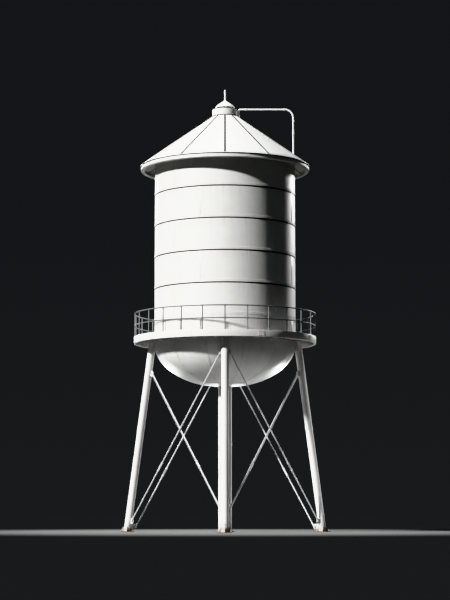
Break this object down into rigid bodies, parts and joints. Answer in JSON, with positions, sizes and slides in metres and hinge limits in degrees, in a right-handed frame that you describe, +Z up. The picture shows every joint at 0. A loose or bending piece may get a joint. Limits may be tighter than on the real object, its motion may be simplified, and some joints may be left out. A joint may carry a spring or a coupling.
{
  "type": "elevated water tower",
  "caption": "Elevated steel water tower: round tank with conical roof and bowl bottom, railed balcony, raking pipe legs with crossed tie rods, and a centre riser pipe.",
  "frame": {"origin": "on the ground, on the tower's vertical axis, at the centre of the four feet", "axes": "+Z up along the tower's axis, -Y to the front leg, +X to the right-hand leg and over the roof pipe"},
  "size_m": [9.304, 9.304, 20],
  "materials": {
    "tank_paint": "semi-gloss white paint on welded steel plate",
    "roof_paint": "satin white paint on roof plate",
    "frame_paint": "satin white paint on structural steel",
    "rail_paint": "dull grey zinc-rich coat on pipe rail",
    "rod_paint": "satin light grey paint on round bar",
    "fitting_paint": "satin light paint on pipe and fittings",
    "deck_plate": "grey walkway paint, scuffed",
    "seam_caulk": "dark jointing compound at the laps",
    "foot_steel": "worn dark plate, brown with age"
  },
  "bodies": {
    "root": {"balcony_deck": "deck_plate", "balcony_girder": "frame_paint", "base_plate_back": "foot_steel", "base_plate_front": "foot_steel", "base_plate_left": "foot_steel", "base_plate_right": "foot_steel", "finial": "fitting_paint", "leg_back": "frame_paint", "leg_front": "frame_paint", "leg_left": "frame_paint", "leg_right": "frame_paint", "railing_back": "rail_paint", "railing_back_left": "rail_paint", "railing_back_right": "rail_paint", "railing_front": "rail_paint", "railing_front_left": "rail_paint", "railing_front_right": "rail_paint", "railing_left": "rail_paint", "railing_right": "rail_paint", "riser_base": "foot_steel", "riser_pipe": "frame_paint", "roof_cone": "roof_paint", "roof_eave_ring": "roof_paint", "roof_pipe_drop": "fitting_paint", "roof_pipe_inlet": "fitting_paint", "roof_pipe_run": "fitting_paint", "shell_course_1": "tank_paint", "shell_course_2": "tank_paint", "shell_course_3": "tank_paint", "shell_course_4": "tank_paint", "shell_course_5": "tank_paint", "shell_course_6": "tank_paint", "tank_bottom": "tank_paint", "tie_rod_back_left_inner": "rod_paint", "tie_rod_back_left_outer": "rod_paint", "tie_rod_back_right_inner": "rod_paint", "tie_rod_back_right_outer": "rod_paint", "tie_rod_front_left_inner": "rod_paint", "tie_rod_front_left_outer": "rod_paint", "tie_rod_front_right_inner": "rod_paint", "tie_rod_front_right_outer": "rod_paint", "vent_cap": "roof_paint", "vent_collar": "roof_paint"}
  },
  "joints": []
}
